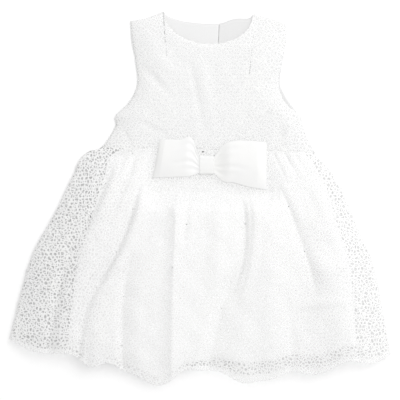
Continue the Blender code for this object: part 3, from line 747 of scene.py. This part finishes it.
def cords_on(surface, u, v, sideways, half_width, height, lift, upward):
    """Three-sided closed cords along (count, stations) shares, moved sideways in the plane. Each
    ring is left foot, top, right foot. Gives points, normals, quads and end triangles."""
    centre, normal = surface(u, v, lift), facing(surface, u, v, upward)
    centre[..., :2] += sideways
    run = np.gradient(centre, axis=1)
    side = unit(np.cross(normal, run))
    reach, top = half_width[..., None] * side, height[..., None] * normal
    rings = np.stack([centre - reach, centre + top, centre + reach], axis=2)
    feet = [unit(normal + turn * side) for turn in (-FOOT_TURN, FOOT_TURN)]
    normals = np.stack([feet[0], normal, feet[1]], axis=2)
    count, stations = u.shape
    index = np.arange(count * stations * 3).reshape(count, stations, 3)
    here, there = index[:, :-1], index[:, 1:]
    walls = np.stack([here, there, np.roll(there, -1, axis=2), np.roll(here, -1, axis=2)], axis=-1)
    ends = np.concatenate([index[:, 0], index[:, -1][:, ::-1]])
    return rings.reshape(-1, 3), normals.reshape(-1, 3), walls.reshape(-1, 4), ends


def joined(name, parts):
    """One mesh from several (points, normals, quads, triangles), with its own soft normals."""
    faces, first = [], 0
    for points, _, quads, triangles in parts:
        faces.extend((quads + first).tolist())
        faces.extend((triangles + first).tolist())
        first += len(points)
    piece = mesh_object(name, np.concatenate([part[0] for part in parts]), faces)
    piece.data.normals_split_custom_set_from_vertices(np.concatenate([part[1] for part in parts]))
    print(name, sum(2 * len(quads) + len(ends) for _, _, quads, ends in parts), "triangles")
    return piece


CELL, CELL_UNEVEN, EDGE_MARGIN = 0.0058, 0.24, 3e-4
CORD_HALF, CORD_HEIGHT = 0.00065, 0.00030
LEAF_HALF, LEAF_HEIGHT = 0.0013, 0.00035
LEFT_OUT, LEAF_SHARE, CORD_BOW = 0.14, 0.06, 0.16
SHORTEST_CORD, SHORTEST_LEAF, LEAF_BOW = 0.0009, 0.0026, 0.25
CORD_WIDTHS, LEAF_TAPER = (0.75, 1.25), (0.08, 0.92)
CORD_SHARES = [-0.06, 0.5, 1.06]
LEAF_SHARES = [-0.45, -0.2, 0.5, 1.2, 1.45]


def honeycomb(low, high, draw):
    """Corners of an uneven honeycomb over a box, and its sides as pairs of corners."""
    half, step = CELL / 2, CELL * math.sqrt(3) / 2
    columns, rows = int((high[0] - low[0]) / half) + 2, int((high[1] - low[1]) / step) + 2
    i, j = np.meshgrid(np.arange(columns), np.arange(rows))
    odd = (i + j) % 2
    moved_x, moved_y = (draw.uniform(-CELL_UNEVEN, CELL_UNEVEN, i.shape) * CELL for _ in range(2))
    x = low[0] + i * half + moved_x
    y = low[1] + j * step + (0.5 - odd) * step / 3 + moved_y
    index = np.arange(i.size).reshape(i.shape)
    level = np.stack([index[:, :-1], index[:, 1:]], axis=-1).reshape(-1, 2)
    rising = np.stack([index[:-1], index[1:]], axis=-1)[odd[:-1] == 0]
    return x.ravel(), y.ravel(), np.concatenate([level, rising])


def lace_cords(name, surface, seed, lift, upward):
    """Cords of a lace panel: the kept sides of a honeycomb, thin ones first and then the leaves."""
    draw = np.random.default_rng(seed)
    border = surface(*np.meshgrid(even(40), even(40)))[..., :2]
    x, y, sides = honeycomb(border.min(axis=(0, 1)) - CELL, border.max(axis=(0, 1)) + CELL, draw)
    u, v, outside = shares_at(surface.plan, x, y)
    kept = (outside < EDGE_MARGIN)[sides].any(axis=1) & (outside[sides].max(axis=1) < CELL)
    kept &= draw.uniform(0, 1, len(sides)) > LEFT_OUT
    sides = sides[kept]
    here = surface(u, v)[..., :2]
    run = here[sides[:, 1]] - here[sides[:, 0]]
    length = np.linalg.norm(run, axis=1)
    sides, run, length = (values[length > SHORTEST_CORD] for values in (sides, run, length))
    across = np.stack([-run[:, 1], run[:, 0]], axis=-1) * draw.uniform(-CORD_BOW, CORD_BOW, (len(sides), 1))
    is_leaf = (draw.uniform(0, 1, len(sides)) < LEAF_SHARE) & (length > SHORTEST_LEAF)
    parts = []
    for chosen, shares, half_width, height in (
        (~is_leaf, CORD_SHARES, CORD_HALF, CORD_HEIGHT), (is_leaf, LEAF_SHARES, LEAF_HALF, LEAF_HEIGHT),
    ):
        share = np.array(shares)[None, :]
        start, end = sides[chosen, 0], sides[chosen, 1]
        along_u = within(mixed(u[start, None], u[end, None], share))
        along_v = within(mixed(v[start, None], v[end, None], share))
        sideways = across[chosen, None] * (4 * share * (1 - share))[..., None]
        wide = half_width * draw.uniform(*CORD_WIDTHS, (len(start), 1)) * np.ones(len(shares))
        if shares is LEAF_SHARES:
            sideways = sideways * LEAF_BOW
            wide = wide * np.sin(math.pi * np.linspace(*LEAF_TAPER, len(shares)))
        high = np.full_like(wide, height)
        parts.append(cords_on(surface, along_u, along_v, sideways, wide, high, lift, upward))
    return joined(name, parts)


# %% [markdown]
# ## Making the pieces
#
# The sheets first, each lifted from its solid's underside into the wall, then their cords. A
# front panel looks up and a back one down. The stitches are the same short cords, set in a row.

# %% Lace and linings of the front and the skirt
SHEET, SATIN_SHEET = 0.00035, 0.0005
FRONT_LIFT, BACK_LIFT, LINING_LIFT, SATIN_LIFT = 0.00070, 0.00055, 0.0006, 0.0002
BELOW_CORDS = 0.00004
HEM_ROWS = 1 - (1 - even(116)) ** 1.15  # closer together towards the hem
lace, linings, stitched = {}, {}, {}


def add_lace(node_name, surface, seed, across, down):
    """A lace panel: its net sheet and its cords."""
    front = node_name.startswith("front")
    lift, sunk = (FRONT_LIFT, -BELOW_CORDS) if front else (BACK_LIFT, BELOW_CORDS)
    net = panel(node_name + "_lace", surface, across, down, front, SHEET, lift)
    lace[node_name] = net, lace_cords(node_name + "_cords", surface, seed, lift + sunk, front)


def add_lining(node_name, surface, columns, rows):
    """A lining's sheet on an even grid."""
    name = node_name.replace("lining", "lining_cloth")
    linings[node_name] = panel(name, surface, even(columns), even(rows), True, SHEET, LINING_LIFT)


add_lace("front_skirt", front_skirt, 1, even(252), HEM_ROWS)
add_lace("back_skirt", back_skirt, 2, even(168), even(60))
add_lace("front_bodice", front_bodice, 3, neck_stations(26, 72), even(96))
add_lining("front_skirt_lining", front_skirt_lining, 150, 80)
add_lining("back_skirt_lining", back_skirt_lining, 60, 30)

# %% Back bodice and stitches
STITCH_HALF, STITCH_HEIGHT, STITCH_PART = 0.00022, 0.00022, 0.36
NECK_STITCHES, NECK_STITCH_LINE, HEM_STITCHES, HEM_STITCH_LINE = 39, 0.02, 190, 0.955


def stitches(name, surface, line, level):
    """A row at one level of a lining: each stitch lies in the middle 0.72 of its step."""
    part = np.array([0.5 - STITCH_PART, 0.5, 0.5 + STITCH_PART])
    along = mixed(line[:-1, None], line[1:, None], part)
    half, height = np.full_like(along, STITCH_HALF), np.full_like(along, STITCH_HEIGHT)
    level = np.full_like(along, level)
    return joined(name, [cords_on(surface, along, level, 0.0, half, height, LINING_LIFT, True)])


for number, half in enumerate(("left", "right")):
    add_lace(
        "back_bodice_" + half, back_bodice(half, 0.0, BACK_LACE_INSET), 4 + number, even(60), even(70)
    )
    lining, lining_node = back_bodice(half, BACK_LINING_Z, BACK_LINING_INSET), "back_bodice_lining_" + half
    add_lining(lining_node, lining, 60, 70)
    # The neck lies between the neck tip and the centre back.
    neck_line = np.linspace(*((0.5, 1.0) if half == "left" else (0.0, 0.5)), NECK_STITCHES + 1)
    stitched[lining_node] = [stitches("back_neck_stitches_" + half, lining, neck_line, NECK_STITCH_LINE)]
stitched["front_skirt_lining"] = [
    stitches("lining_hem_stitches", front_skirt_lining, even(HEM_STITCHES), HEM_STITCH_LINE)
]

# %% Bow
KNOT_X, KNOT_Y = 0.0098, 0.0488
KNOT_HALF_LENGTH, KNOT_HALF_HEIGHT, KNOT_HALF_DEPTH, KNOT_WAIST = 0.0098, 0.0130, 0.0036, 0.94

loops = {
    half: panel(
        "bow_" + half + "_loop_satin", bow_loop(band), even(120), even(44), True, SATIN_SHEET, SATIN_LIFT
    )
    for half, band in LOOPS.items()
}


def squared_off(value):
    """A circle's cosine or sine raised to 0.7, sign kept: a boxier round."""
    return np.sign(value) * np.abs(value) ** 0.7


def knot(across, down, lift=0.0):
    """A band round the loops: a squared-off round with soft creases along it, closed on itself."""
    angle = 2 * math.pi * across
    length = 2 * down - 1
    waist = mixed(KNOT_WAIST, 1.0, length ** 2)
    ripple = (0.0003 * np.cos(7 * angle + 1.3) + 0.0002 * np.cos(13 * angle)) * (0.4 + 0.6 * length ** 2)
    y = KNOT_Y + squared_off(np.cos(angle)) * (KNOT_HALF_HEIGHT * waist + SATIN - lift)
    z = KNOT_Z + squared_off(np.sin(angle)) * (KNOT_HALF_DEPTH + SATIN - lift + ripple * 0.6)
    return point(KNOT_X + length * KNOT_HALF_LENGTH, y, z)


knot_sheet = panel("bow_knot_satin", knot, even(72), even(16), True, SATIN_SHEET, SATIN_LIFT)
print("bow pieces", [piece.name for piece in (*loops.values(), knot_sheet)])

# %% [markdown]
# ## Finishes
#
# Every finish is made of nodes on the cloth's own UV map, in metres. Shared effects are node
# groups with named inputs, used by each cloth with its own sizes.

# %% Node groups


def node(tree, kind, values=None, **settings):
    """A shader node with its settings, and its inputs set to values or linked to sockets."""
    made = tree.nodes.new("ShaderNode" + kind)
    for key, value in settings.items():
        setattr(made, key, value)
    for key, value in (values or {}).items():
        if isinstance(value, bpy.types.NodeSocket):
            tree.links.new(value, made.inputs[key])
        else:
            made.inputs[key].default_value = value
    return made


def math_node(tree, operation, first, second=0.0):
    """One sum: a Math node's result."""
    return node(tree, "Math", {0: first, 1: second}, operation=operation).outputs[0]


def ranged(tree, value, first, second, low=0.0, high=1.0):
    """first where the value is low or less, second where it is high or more, even between them."""
    values = {"Value": value, "From Min": low, "From Max": high, "To Min": first, "To Max": second}
    return node(tree, "MapRange", values).outputs["Result"]


def noise(tree, vector, scale, detail=2.0, roughness=0.5):
    """The outputs of a noise texture."""
    values = {"Vector": vector, "Scale": scale, "Detail": detail, "Roughness": roughness}
    return node(tree, "TexNoise", values).outputs


def group(name, inputs, outputs):
    """An empty shader group, with its given and its result sockets. An input has its default: a
    number, a colour, or None for a vector. An output has its kind."""
    tree = bpy.data.node_groups.new(name, "ShaderNodeTree")
    for label, default in inputs.items():
        kind = {float: "Float", tuple: "Color"}.get(type(default), "Vector")
        socket = tree.interface.new_socket(label, in_out="INPUT", socket_type="NodeSocket" + kind)
        if default is not None:
            socket.default_value = default
    for label, kind in outputs.items():
        tree.interface.new_socket(label, in_out="OUTPUT", socket_type="NodeSocket" + kind)
    return tree, tree.nodes.new("NodeGroupInput").outputs, tree.nodes.new("NodeGroupOutput").inputs


def net_group():
    """Threads along the walls of uneven cells. Gives 1 on a thread, 0 in a hole."""
    tree, given, result = group(
        "net", {"Vector": None, "Cell": 0.001, "Thread": 0.1, "Uneven": 0.5}, {"Threads": "Float"}
    )
    scale = math_node(tree, "DIVIDE", 1.0, given["Cell"])
    cells = node(
        tree, "TexVoronoi", {"Vector": given["Vector"], "Scale": scale, "Randomness": given["Uneven"]},
        feature="DISTANCE_TO_EDGE", voronoi_dimensions="2D",
    )
    clear = math_node(tree, "MULTIPLY", given["Thread"], 1.6)
    threads = ranged(tree, cells.outputs["Distance"], 1.0, 0.0, given["Thread"], clear)
    tree.links.new(threads, result["Threads"])
    return tree


def weave_group():
    """Plain weave: the product of two sine waves, one for the warp and one for the weft."""
    tree, given, result = group("weave", {"Vector": None, "Pitch": 0.0005}, {"Height": "Float"})
    split = node(tree, "SeparateXYZ", {"Vector": given["Vector"]}).outputs
    waves = []
    for axis in ("X", "Y"):
        turns = math_node(tree, "DIVIDE", split[axis], given["Pitch"])
        waves.append(math_node(tree, "SINE", math_node(tree, "MULTIPLY", turns, 2 * math.pi)))
    tree.links.new(math_node(tree, "MULTIPLY", *waves), result["Height"])
    return tree


def unevenness_group():
    """Slow change over the cloth between two tones, and a value for the roughness to follow."""
    white = (1, 1, 1, 1)
    tree, given, result = group(
        "unevenness",
        {"Vector": None, "Size": 0.06, "First": white, "Second": white, "Smooth": 0.5, "Rough": 0.8},
        {"Color": "Color", "Roughness": "Float"},
    )
    patches = noise(tree, given["Vector"], math_node(tree, "DIVIDE", 1.0, given["Size"]), 3.0, 0.55)
    spread = ranged(tree, patches["Fac"], 0.0, 1.0, 0.35, 0.65)
    tones = {0: spread, 6: given["First"], 7: given["Second"]}
    tree.links.new(node(tree, "Mix", tones, data_type="RGBA").outputs[2], result["Color"])
    tree.links.new(ranged(tree, spread, given["Smooth"], given["Rough"]), result["Roughness"])
    return tree


NET, WEAVE, UNEVENNESS = net_group(), weave_group(), unevenness_group()
print("node groups", [tree.name for tree in (NET, WEAVE, UNEVENNESS)])

# %% [markdown]
# Thin white cloth lets light through, so Light Path makes it partly clear to every ray but the
# camera's: the cloth looks solid, and yet light reaches what lies under it. The gathers lie
# closer towards the sides, so the front stops more light there, and the back, on the floor,
# stops all of it. The net is closer in the bodice. On the right of the skirt its holes are
# filled in more, a painted light on the side that the lamp reaches.

# %% Materials
NET_TO_LIGHT, CORD_TO_LIGHT, SATIN_TO_LIGHT = (0.03, 0.12), (0.12, 0.30), 0.05
BACK_TO_LIGHT, MIDDLE_X, SIDE_SPAN = (1.0, 1.0), 0.005, (0.07, 0.16)
# The skirt's net is see-through on the left, and its holes fill in towards the right: painted light on the
# side that the lamp reaches.
SKIRT_NET_SEEN_AND_PAINTED_LIGHT, BODICE_NET_SEEN, PAINTED_LIGHT_SPAN = (0.12, 0.30), (0.45, 0.45), (-0.05, 0.09)
SKIRT_NET_TONE, BODICE_NET_TONE, TONE_SPREAD = 0.83, 0.78, 0.01
CORD_TONES, SATIN_TONES = ((0.80, 0.80, 0.80), (0.82, 0.82, 0.81)), ((0.78, 0.78, 0.78), (0.81, 0.81, 0.80))
LACE_SHEEN, LINING_SHEEN, SATIN_SHEEN = 0.15, 0.1, 0.15
FINE_NET = {"cell": 0.0013, "thread": 0.09, "uneven": 0.45}
BRANCHING_NET = {"cell": 0.0048, "thread": 0.10, "uneven": 1.0}
FINE_SHARE, BRANCH_PUSH, FULLEST_THREAD = 0.45, (0.0025, 0.0025, 0.0), 0.95
WEAVE_PITCH, FLOAT_SCALE = 0.0007, (180.0, 2600.0, 1.0)


def new_material(name, sheen=0.0, on_cut=True):
    """A material, its nodes, its Principled shader's inputs, and the place on the cut or object."""
    material = bpy.data.materials.new(name)
    material.use_nodes = True
    tree = material.node_tree
    shader = tree.nodes["Principled BSDF"].inputs
    shader["Sheen Weight"].default_value = sheen
    if on_cut:
        place = node(tree, "UVMap", uv_map="cut").outputs["UV"]
    else:
        place = node(tree, "TexCoord").outputs["Object"]
    return material, tree, shader, place


def cloth(name, sheen, first, second, size, smooth, rough, on_cut=True):
    """A cloth's material: the slow unevenness gives its base colour and its roughness."""
    material, tree, shader, place = new_material(name, sheen, on_cut)
    tone = node(tree, "Group", {
        "Vector": place, "Size": size, "First": (*first, 1), "Second": (*second, 1),
        "Smooth": smooth, "Rough": rough,
    }, node_tree=UNEVENNESS).outputs
    tree.links.new(tone["Color"], shader["Base Color"])
    tree.links.new(tone["Roughness"], shader["Roughness"])
    return material, tree, shader, place


def bumped(tree, shader, height, strength, distance):
    """A Bump node from a height to the shader's normal."""
    values = {"Height": height, "Strength": strength, "Distance": distance}
    tree.links.new(node(tree, "Bump", values).outputs["Normal"], shader["Normal"])


def let_light_through(tree, shader, to_camera, to_light):
    """Alpha: one value or pattern for the camera's rays, and another for every other ray."""
    path = node(tree, "LightPath").outputs["Is Camera Ray"]
    tree.links.new(ranged(tree, path, to_light, to_camera), shader["Alpha"])


def x_of(tree, place):
    """How far right a place is."""
    return node(tree, "SeparateXYZ", {"Vector": place}).outputs["X"]


def to_the_sides(tree, place, shares):
    """The first share in the middle of the dress, the second at its sides."""
    away = math_node(tree, "ABSOLUTE", math_node(tree, "SUBTRACT", x_of(tree, place), MIDDLE_X))
    return ranged(tree, away, *shares, *SIDE_SPAN)


def net_threads(tree, place, cell, thread, uneven):
    """The shared net with its own sizes."""
    values = {"Vector": place, "Cell": cell, "Thread": thread, "Uneven": uneven}
    return node(tree, "Group", values, node_tree=NET).outputs["Threads"]


def lace_net_material(name, to_light, seen_in_holes, tone):
    """The net ground: a fine even net under a coarser branching one, with clear holes."""
    tones = (tone - TONE_SPREAD,) * 3, (tone + TONE_SPREAD,) * 3
    material, tree, shader, place = cloth(name, LACE_SHEEN, *tones, size=0.07, smooth=0.75, rough=0.92)
    push = {0: noise(tree, place, scale=160.0, detail=1.0)["Color"], 1: BRANCH_PUSH}
    pushed = node(tree, "VectorMath", push, operation="MULTIPLY").outputs[0]
    moved = node(tree, "VectorMath", {0: place, 1: pushed}, operation="ADD").outputs[0]
    fine, branches = net_threads(tree, place, **FINE_NET), net_threads(tree, moved, **BRANCHING_NET)
    threads = math_node(tree, "MAXIMUM", math_node(tree, "MULTIPLY", fine, FINE_SHARE), branches)
    # Where the two shares differ, the holes fill in towards the right: painted light on the lamp's side of
    # the skirt.
    holes = ranged(tree, x_of(tree, place), *seen_in_holes, *PAINTED_LIGHT_SPAN)
    seen = ranged(tree, threads, holes, FULLEST_THREAD)
    let_light_through(tree, shader, seen, to_the_sides(tree, place, to_light))
    bumped(tree, shader, threads, strength=0.2, distance=0.0002)
    return material


def lace_cord_material(name, to_light):
    """The cords: matte cotton with a fine fibre."""
    material, tree, shader, place = cloth(
        name, LACE_SHEEN, *CORD_TONES, size=0.05, smooth=0.65, rough=0.85, on_cut=False
    )
    bumped(tree, shader, noise(tree, place, scale=2200.0)["Fac"], strength=0.15, distance=0.0002)
    let_light_through(tree, shader, 1.0, to_the_sides(tree, place, to_light))
    return material


def lining_material(name, first, second):
    """Smooth lining between two tones: a close plain weave with a soft, low sheen."""
    tones = (first,) * 3, (second,) * 3
    material, tree, shader, place = cloth(name, LINING_SHEEN, *tones, size=0.09, smooth=0.5, rough=0.62)
    weave = node(tree, "Group", {"Vector": place, "Pitch": WEAVE_PITCH}, node_tree=WEAVE)
    bumped(tree, shader, weave.outputs["Height"], strength=0.15, distance=0.0001)
    return material


def satin_material():
    """Bow satin: smooth, with long floats that run along the band, and a soft gloss."""
    material, tree, shader, place = cloth(
        "satin", SATIN_SHEEN, *SATIN_TONES, size=0.05, smooth=0.36, rough=0.46
    )
    floats = node(tree, "Mapping", {"Vector": place, "Scale": FLOAT_SCALE})
    gloss = noise(tree, floats.outputs["Vector"], scale=1.0)["Fac"]
    bumped(tree, shader, gloss, strength=0.2, distance=0.00008)
    let_light_through(tree, shader, 1.0, SATIN_TO_LIGHT)
    return material


def floor_material():
    """Pale smooth paper, with a faint tooth."""
    material, tree, shader, place = new_material("pale floor", on_cut=False)
    bumped(tree, shader, noise(tree, place, scale=600.0)["Fac"], strength=0.1, distance=0.0002)
    shader["Base Color"].default_value = (0.95, 0.95, 0.95, 1)
    shader["Roughness"].default_value = 0.9
    return material


CORDS = {
    "front": lace_cord_material("lace cord", CORD_TO_LIGHT),
    "back": lace_cord_material("back lace cord", BACK_TO_LIGHT),
}
NETS = {
    "front_skirt": lace_net_material("lace net", NET_TO_LIGHT, SKIRT_NET_SEEN_AND_PAINTED_LIGHT, SKIRT_NET_TONE),
    "front_bodice": lace_net_material("bodice lace net", NET_TO_LIGHT, BODICE_NET_SEEN, BODICE_NET_TONE),
    "back": lace_net_material("back lace net", BACK_TO_LIGHT, SKIRT_NET_SEEN_AND_PAINTED_LIGHT, SKIRT_NET_TONE),
}
LININGS = {
    "skirt": lining_material("lining", 0.945, 0.96),
    # The back bodice linings are darker than the skirt's: painted shade where the back shows inside the
    # neck, and on the right half a darker painted shadow, under the left half that overlaps it.
    "left": lining_material("left back lining painted shade", 0.735, 0.755),
    "right": lining_material("right back lining painted shadow", 0.69, 0.71),
}
satin_cloth = satin_material()
print(len(bpy.data.materials), "materials")

# %% Floor
FLOOR_SIZE, FLOOR_Z = 12.0, -0.0002

floor_mesh = bpy.data.meshes.new("floor")
floor_corners = np.array([[-1, -1, 0], [1, -1, 0], [1, 1, 0], [-1, 1, 0]]) * FLOOR_SIZE / 2
floor_mesh.from_pydata(floor_corners + [0, 0, FLOOR_Z], [], [[0, 1, 2, 3]])
floor = bpy.data.objects.new("floor", floor_mesh)
bpy.context.scene.collection.objects.link(floor)
floor_mesh.materials.append(floor_material())

# %% [markdown]
# ## What each piece stands for
#
# Every piece rides on the one body, names the solid it replaces and the finish it takes, and each
# sheet says the size it was cut to.

# %% Bodies, nodes, finishes and cuts


def dress_piece(piece, node_name, material):
    """A piece on the body, in place of a solid, with its finish."""
    piece.data.materials.append(material)
    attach(piece, "root")
    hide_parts(node_name)


def lace_panel(node_name):
    """A lace panel: its net and its cords, both in place of its solid."""
    net, cords = lace[node_name]
    dress_piece(net, node_name, NETS.get(node_name, NETS["back"]))
    dress_piece(cords, node_name, CORDS[node_name.split("_")[0]])


def lining_panel(node_name):
    """A lining and the stitches on it. The skirt's linings share one finish."""
    sheet, sewn_on = linings[node_name], stitched.get(node_name, [])
    dress_piece(sheet, node_name, LININGS.get(node_name.split("_")[-1], LININGS["skirt"]))
    for piece in sewn_on:
        dress_piece(piece, node_name, CORDS["front"])
    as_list(sewn_on)


lace_panel(
    "front_skirt",
)
lace_panel("back_skirt")
lace_panel(
    "front_bodice",
)
for half in ("left", "right"):
    back = "back_bodice_" + half
    lace_panel(back)
    lining = "back_bodice_lining_" + half
    lining_panel(lining)
lining_panel(
    "front_skirt_lining"
)
lining_panel("back_skirt_lining")

for half, loop in loops.items():
    dress_piece(loop, "bow_" + half + "_loop", satin_cloth)
dress_piece(knot_sheet, "bow_knot", satin_cloth)
